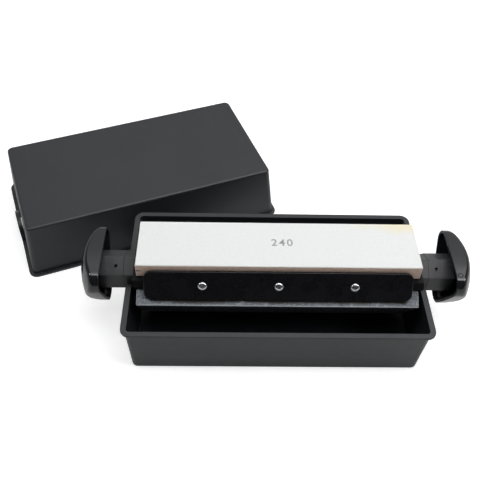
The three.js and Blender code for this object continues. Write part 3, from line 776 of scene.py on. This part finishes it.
def arm_mesh(side):
    END_EDGE = ((0.8, 0), (0.42, 0.09), (0.12, 0.34), (0, 0.8))  # (inward, along) in mm
    BLOCK, NECK, SPIGOT, SOCKET = 17.9, 17.5, 14.7, 10.3
    SPIGOT_BORE, ROD_HOLE = 10, 3.3
    start = ARM_START - SPIGOT_LENGTH
    rings = [at_x(round_bore(SPIGOT_BORE), start), at_x(hexagon(SPIGOT), start),
             at_x(hexagon(SPIGOT), ARM_START), at_x(hexagon(NECK), ARM_START)]
    step = BLOCK - NECK
    rings += [at_x(hexagon(NECK), SHOULDER + step), at_x(hexagon(BLOCK), SHOULDER + 2 * step)]
    rings += [at_x(hexagon(BLOCK - inward), ARM_END - along)
              for inward, along in reversed(END_EDGE)]
    rings += [at_x(hexagon(SOCKET), ARM_END), at_x(hexagon(SOCKET), WEB_END),
              at_x(round_bore(ROD_HOLE), WEB_END), at_x(round_bore(ROD_HOLE), ARM_START),
              at_x(round_bore(SPIGOT_BORE), ARM_START)]
    arm = combined(banded(f"{side}_arm_shape", rings),
                   [pin_hole("arm_pin_hole", PIN_HOLE, 2 * BLOCK)], "DIFFERENCE")
    return place_on_side(arm, side)


for side in ("left", "right"):
    piece = dress(arm_mesh(side), f"{side}_arm", [nylon])
    print(piece.name, len(piece.data.polygons), "faces")

# %% [markdown]
# A handle is a shell with three slightly crowned sides and three well rounded corners,
# which runs over a round into a dome. The mould polished it, so every facet would show in
# its reflections: the corners, the round and the dome are made with fine steps. Inside, a
# hexagonal stem goes into the arm's socket and three ribs brace the corners.

# %% Handle outline and dome
HANDLE_OPEN = SHOULDER + 22.2
HANDLE_APEX = HANDLE_OPEN + 25.3
HANDLE_SIDE = 31.5  # from the axis to the middle of each side
CROWN_RADIUS = 500
CORNER_ROUND = 15.2
HANDLE_WALL = 2.8
HANDLE_FILLET = 3.2
DOME_RADIUS = 73

# A corner's circle touches the wide circles of both its sides from within
CROWN_CENTRE = CROWN_RADIUS - HANDLE_SIDE
CORNER_CENTRE = (sqrt(4 * (CROWN_RADIUS - CORNER_ROUND) ** 2 - 3 * CROWN_CENTRE ** 2)
                 - CROWN_CENTRE) / 2
CROWN_TURN = asin(CORNER_CENTRE * cos(pi / 6) / (CROWN_RADIUS - CORNER_ROUND))


def handle_outline(inset):
    """Outline (y, z) of the handle: three crowned sides joined by round corners."""
    SIDE_STEPS, CORNER_STEPS = 16, 24
    outline = []
    for k in range(3):
        side, corner = pi / 2 + k * THIRD, pi / 2 + SIXTH + k * THIRD
        for n in range(1 - SIDE_STEPS // 2, SIDE_STEPS // 2):
            turn = side + 2 * n / SIDE_STEPS * CROWN_TURN
            outline.append(((CROWN_RADIUS - inset) * cos(turn) - CROWN_CENTRE * cos(side),
                            (CROWN_RADIUS - inset) * sin(turn) - CROWN_CENTRE * sin(side)))
        for n in range(CORNER_STEPS + 1):
            turn = corner + (2 * n / CORNER_STEPS - 1) * (SIXTH - CROWN_TURN)
            outline.append((CORNER_CENTRE * cos(corner) + (CORNER_ROUND - inset) * cos(turn),
                            CORNER_CENTRE * sin(corner) + (CORNER_ROUND - inset) * sin(turn)))
    return outline


def end_path(reach, inset):
    """Points (x, distance from the axis) over the fillet and the dome to near its middle."""
    FILLET_STEPS, DOME_ROWS = 8, 12
    radius = DOME_RADIUS - inset
    points = [(reach - HANDLE_FILLET * (1 - cos(turn)), HANDLE_FILLET * (1 - sin(turn)))
              for turn in (k / FILLET_STEPS * pi / 2 for k in range(FILLET_STEPS + 1))]
    points += [((reach - HANDLE_FILLET) * (1 - row / DOME_ROWS), 0) for row in range(1, DOME_ROWS)]
    return [(HANDLE_APEX - DOME_RADIUS + sqrt(radius ** 2 - drawn ** 2) - back, drawn)
            for drawn, back in points]


def domed_end(outline, inset):
    """Rings from the straight side over the fillet to near the dome's middle."""
    paths = [end_path(hypot(y, z), inset) for y, z in outline]
    return [[(x, y * drawn / hypot(y, z), z * drawn / hypot(y, z))
             for (x, drawn), (y, z) in zip(ring, outline)] for ring in zip(*paths)]


print(f"handle {HANDLE_SIDE + CORNER_CENTRE + CORNER_ROUND:.1f} mm from a side to the far corner, "
      f"{len(handle_outline(0))} points round")

# %% [markdown]
# The shell is one skin: from the middle of the dome outside, round the open lip, to the
# middle of the dome inside. The lip is rounded, as the mould's parting edge is. A solid
# handle would look the same from outside, but the open side of the left one shows its
# inside, and the stem and ribs stand there on the real thing.

# %% Handle shell, stem and ribs
def shell_mesh(side):
    LIP, INNER_LIP, LIP_STEPS = 0.7, 0.7 / 3, 4
    inner = handle_outline(HANDLE_WALL)
    rings = list(reversed(domed_end(handle_outline(0), 0)))
    for k in range(LIP_STEPS + 1):
        angle = k / LIP_STEPS * pi / 2
        rings.append(at_x(handle_outline(LIP * (1 - cos(angle))),
                          HANDLE_OPEN + LIP * (1 - sin(angle))))
    rings.append(at_x(handle_outline(HANDLE_WALL - INNER_LIP), HANDLE_OPEN))
    rings.append(at_x(inner, HANDLE_OPEN + INNER_LIP))
    rings += domed_end(inner, HANDLE_WALL)
    return banded(f"{side}_handle_shape", rings,
                  ends=[(HANDLE_APEX, 0, 0), (HANDLE_APEX - HANDLE_WALL, 0, 0)])


def stem_mesh():
    STEM_START, STEM, END_EDGE = 166.6, 10, 0.8
    inside_wall = HANDLE_APEX - HANDLE_WALL / 2
    rings = [at_x(hexagon(STEM - END_EDGE, 0.4), STEM_START),
             at_x(hexagon(STEM, 0.4), STEM_START + END_EDGE),
             at_x(hexagon(STEM, 0.4), inside_wall)]
    stem = banded("handle_stem", rings, ends=[(STEM_START, 0, 0), (inside_wall, 0, 0)])
    return combined(stem, [pin_hole("stem_pin_hole", PIN_HOLE, HANDLE_SIDE)], "DIFFERENCE")


def rib_mesh(corner):
    """Plate from the axis to a corner, its outer edge in the middle of the wall."""
    RIB_HALF, RIB_START = 1.1, ARM_END + 1.5
    inset = HANDLE_WALL / 2
    edge = [(x, reach) for x, reach in end_path(CORNER_CENTRE + CORNER_ROUND - inset, inset)
            if x > RIB_START]
    profile = [(RIB_START, 0), (RIB_START, edge[0][1])] + edge + [(HANDLE_APEX - inset, 0)]
    rings = [[(x, half, reach) for x, reach in profile] for half in (-RIB_HALF, RIB_HALF)]
    middle = (ARM_END + 6, CORNER_CENTRE / 2)  # well inside the profile
    rib = banded("handle_rib", rings,
                 ends=[(middle[0], half, middle[1]) for half in (-RIB_HALF, RIB_HALF)])
    rib.transform(Matrix.Rotation(SIXTH + corner * THIRD, 4, "X"))
    return rib


print(f"handle {HANDLE_APEX - HANDLE_OPEN:.1f} mm deep, its wall {HANDLE_WALL} mm thick")

# %% [markdown]
# The right handle has one round mark where its side begins to turn down, left by the
# mould's ejector pin. It is a ring-shaped groove, cut with a small ring of its own. A
# bump in the material would also draw it, but the exported mesh would lose it. Inside,
# the mould's core wasn't polished, so the faces that look inwards are satin.

# %% Handles
def handle_mesh(side):
    MARK_RADIUS, MARK_DEPTH, MARK_WIDTH, MARK_INSET, MARK_TURN = 3.3, 0.9, 1.6, 4.1, radians(9)
    handle = combined(shell_mesh(side), [stem_mesh()] + [rib_mesh(k) for k in range(3)], "UNION")
    if side == "right":
        section = ((MARK_RADIUS, MARK_DEPTH), (MARK_RADIUS - MARK_WIDTH / 2, -MARK_DEPTH),
                   (MARK_RADIUS - MARK_WIDTH, MARK_DEPTH))
        mark = banded("ejector_mark", [[(-z, y, CORNER_ROUND + height) for y, z in circle(radius, 40)]
                                       for radius, height in section])
        corner = Vector((HANDLE_OPEN + MARK_INSET, -CORNER_CENTRE * cos(pi / 6), CORNER_CENTRE / 2))
        mark.transform(Matrix.Translation(corner * MM) @ Matrix.Rotation(MARK_TURN, 4, "X"))
        handle = combined(handle, [mark], "DIFFERENCE")
    return place_on_side(handle, side)


def matte_inside(mesh, side):
    """Gives the faces that look inwards the second finish."""
    SIDEWAYS = 0.2  # a face that points away from the middle by less than this looks inwards
    way = -1 if side == "left" else 1
    middle = Vector((way * HANDLE_OPEN, 0, AXIS_HEIGHT)) * MM
    for face in mesh.polygons:
        outward = face.normal.dot((face.center - middle).normalized())
        face.material_index = 1 if outward < SIDEWAYS else 0


for side in ("left", "right"):
    shape = handle_mesh(side)
    matte_inside(shape, side)
    piece = dress(shape, f"{side}_handle", [gloss_abs, satin_abs])
    print(piece.name, len(piece.data.polygons), "faces")

# %% [markdown]
# The screws have pan heads with a cross recess, whose four wings narrow towards the
# bottom. The profile of a screw is turned round its axis, ring by ring, and the recess is
# cut with two crossed wedges, since it catches the light and a painted cross wouldn't.
# One screw is made with its seat at the origin, and then stood on each bar.

# %% Screws
SCREW_PITCH = 78


def recess_wing(turn):
    """Closed wedge for half of the cross, long at the top and short at the bottom."""
    LOW, HIGH = 1.2, 4.2
    SHORT, LONG, THIN, WIDE = 1.0, 2.9, 0.45, 0.75
    rings = [[(-SHORT, -THIN, LOW), (SHORT, -THIN, LOW), (SHORT, THIN, LOW), (-SHORT, THIN, LOW)],
             [(-LONG, -WIDE, HIGH), (LONG, -WIDE, HIGH), (LONG, WIDE, HIGH), (-LONG, WIDE, HIGH)]]
    wing = banded("recess_wing", rings, ends=[(0, 0, LOW), (0, 0, HIGH)])
    wing.transform(Matrix.Rotation(turn, 4, "Z"))
    return wing


def screw_mesh():
    STEPS, CROWN_STEPS = 40, 10
    HEAD, HEIGHT, RIM, EDGE, SHANK, LENGTH, POINT = 4.75, 3.1, 1.0, 0.2, 2.1, 14, 2
    profile = [(SHANK / 2, -LENGTH), (SHANK, POINT - LENGTH), (SHANK, 0), (HEAD - EDGE, 0),
               (HEAD, EDGE), (HEAD, RIM)]
    for k in range(1, CROWN_STEPS):
        angle = k / CROWN_STEPS * pi / 2
        profile.append((HEAD * cos(angle), RIM + (HEIGHT - RIM) * sin(angle)))
    rings = [[(y, z, height) for y, z in circle(radius, STEPS)] for radius, height in profile]
    screw = banded("screw_shape", rings, ends=[(0, 0, -LENGTH), (0, 0, HEIGHT)])
    return combined(screw, [recess_wing(0), recess_wing(pi / 2)], "DIFFERENCE")


one_screw = screw_mesh()
print("screw:", len(one_screw.polygons), "faces")

# %% [markdown]
# A clamp bar is a flat plate with round corners. Its long edges are bevelled inside,
# where they bear on two stones. The outer edge was tumbled round before the enamel, and
# that round draws a fine pale line along the bar. A bevel modifier on the solid stops at
# its shortest edge, so the plate is made again, as layers of one outline.

# %% Clamp bars
def plate_outline(half_long, half_wide, corner):
    """Rounded rectangle (x, y) round the origin."""
    CORNER_STEPS = 8
    outline = []
    for quarter, (way_x, way_y) in enumerate(((1, 1), (-1, 1), (-1, -1), (1, -1))):
        for k in range(CORNER_STEPS + 1):
            turn = (quarter + k / CORNER_STEPS) * pi / 2
            outline.append((way_x * (half_long - corner) + corner * cos(turn),
                            way_y * (half_wide - corner) + corner * sin(turn)))
    return outline


def bar_mesh():
    """Bar with its outer face at the origin, facing up Z, and its screw holes."""
    HALF_LONG, HALF_WIDE, HALF_INSIDE, CORNER = 138, 15.5, 14.7, 8
    THICK, LAND, EDGE, EDGE_STEPS = 3.5, 3.0, 1.2, 6  # LAND is the depth above the bevel
    HOLE, HOLE_STEPS, PAST = 2.4, 24, 1
    layers = []
    for k in range(EDGE_STEPS + 1):
        turn = k / EDGE_STEPS * pi / 2
        inset, below = EDGE * (1 - sin(turn)), EDGE * (1 - cos(turn))
        layers.append((HALF_LONG - inset, HALF_WIDE - inset, CORNER - inset, -below))
    layers += [(HALF_LONG, HALF_WIDE, CORNER, -LAND), (HALF_LONG, HALF_INSIDE, CORNER, -THICK)]
    rings = [[(x, y, height) for x, y in plate_outline(long, wide, corner)]
             for long, wide, corner, height in layers]
    bar = banded("clamp_bar_shape", rings, ends=[(0, 0, 0), (0, 0, -THICK)])
    holes = []
    for column in (-1, 0, 1):
        middle = column * SCREW_PITCH
        ends = [(middle, 0, -THICK - PAST), (middle, 0, PAST)]
        rings = [[(middle + x, y, end[2]) for x, y in circle(HOLE, HOLE_STEPS)] for end in ends]
        holes.append(banded("screw_hole", rings, ends))
    return combined(bar, holes, "DIFFERENCE")


one_bar = bar_mesh()
print("bar:", len(one_bar.polygons), "faces")

# %% [markdown]
# Each bar stands on a flat between two stones, a third of a turn from the next. Its three
# screws were driven home by hand, so no two crosses lie alike.

# %% Bars and screws in place
for row, bar in enumerate(("front", "under", "back")):
    out = (Matrix.Translation((0, 0, AXIS_HEIGHT * MM)) @ Matrix.Rotation(SIXTH + row * THIRD, 4, "X")
           @ Matrix.Translation((0, 0, SCREW_SEAT * MM)))
    for column, where in enumerate(("left", "middle", "right")):
        drive = radians(17 + 31 * column + 47 * row)
        screw = one_screw.copy()
        screw.transform(out @ Matrix.Translation(((column - 1) * SCREW_PITCH * MM, 0, 0))
                        @ Matrix.Rotation(drive, 4, "Z"))
        dress(screw, f"clamp_screw_{bar}_{where}", [chrome])
    plate = one_bar.copy()
    plate.transform(out)
    piece = dress(plate, f"clamp_bar_{bar}", [enamel])
    print(piece.name, "and its three screws")

# %% [markdown]
# The tray and the cover are moulded shells with drafted walls and a flange round the
# rim, and the core is a moulded bar with three flats. Their solids already have the walls,
# rounds and notches, so a copy of each is enough, with its triangles joined and its
# normals set to look flat on the flats and smooth on the rounds.

# %% Tray, cover and core
for node, finish in (("tray", satin_abs), ("cover", satin_abs), ("cradle_core", black_nylon)):
    piece = dress(copied(node), node, [finish])
    print(piece.name, len(piece.data.polygons), "faces")

# %% [markdown]
# The top stone is white only where it was ground flat. Its sides kept the brownish
# skin of the kiln, so its faces take two finishes, chosen by which way they point. A
# stone's sharp edges crumble in use. The bevel modifier rounds them, and the round takes
# a paler finish.

# %% Stones
GROUND_TILT = radians(30)  # faces tilted from level by less than this were ground

medium = copied("stone_medium")
for face in medium.polygons:
    face.material_index = 0 if face.normal.dot(UP) > cos(GROUND_TILT) else 1
dress(medium, "stone_medium", [white_grit, bare_grit], edge=0.4, sharp=30, edge_slot=0)
dress(copied("stone_coarse"), "stone_coarse", [grey_grit_and_bar_shade, pale_edge_grit], edge=0.45, sharp=30,
      edge_slot=1)
dress(copied("stone_fine"), "stone_fine", [brown_grit], edge=0.2, sharp=30)
print("ground faces:", sum(face.material_index == 0 for face in medium.polygons))

# %% [markdown]
# Stones of this kind carry their grit printed in pale grey. The print is a plain number.
# A text curve gives its strokes, and becomes a flat mesh that lies on the stone as the
# ink does, so that it turns with the cradle and stays in the exported model.

# %% Grit number
INK_RISE = 0.03
NUMBER_SIZE = 13
STROKE_GAIN = 0.22  # makes the strokes as bold as a stencil cuts them
NUMBER_PLACE = Vector((3.9, 1.6, STONE_TOP))

lettering = bpy.data.curves.new("grit_number", "FONT")
lettering.body = "240"
lettering.size = NUMBER_SIZE * MM
lettering.offset = STROKE_GAIN * MM
lettering.space_character = 1.25
lettering.align_x, lettering.align_y = "CENTER", "CENTER"
lettering.extrude = INK_RISE * MM
number = bpy.data.objects.new("grit_number", lettering)
bpy.context.scene.collection.objects.link(number)
number_mesh = bpy.data.meshes.new_from_object(
    number.evaluated_get(bpy.context.evaluated_depsgraph_get()))
bpy.data.objects.remove(number)
number_mesh.transform(Matrix.Translation(NUMBER_PLACE * MM))
number_mesh.materials.clear()
number_mesh.materials.append(grey_ink)
number = bpy.data.objects.new("grit_number", number_mesh)
bpy.context.scene.collection.objects.link(number)
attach(number, body_of("stone_medium"))
print("number:", len(number_mesh.polygons), "faces")

# %% [markdown]
# The pins, washers, nuts and the tie rod hold the cradle together and hardly show. Their
# solids are good enough, so they only take on their zinc plating.

# %% Hidden steel
plated = ["tie_rod"] + [f"{side}_{part}" for side in ("left", "right")
                        for part in ("handle_pin", "rod_washer", "rod_nut")]
for node in plated:
    frame["nodes"][node].material_slots[0].material = zinc
print("plated:", plated)
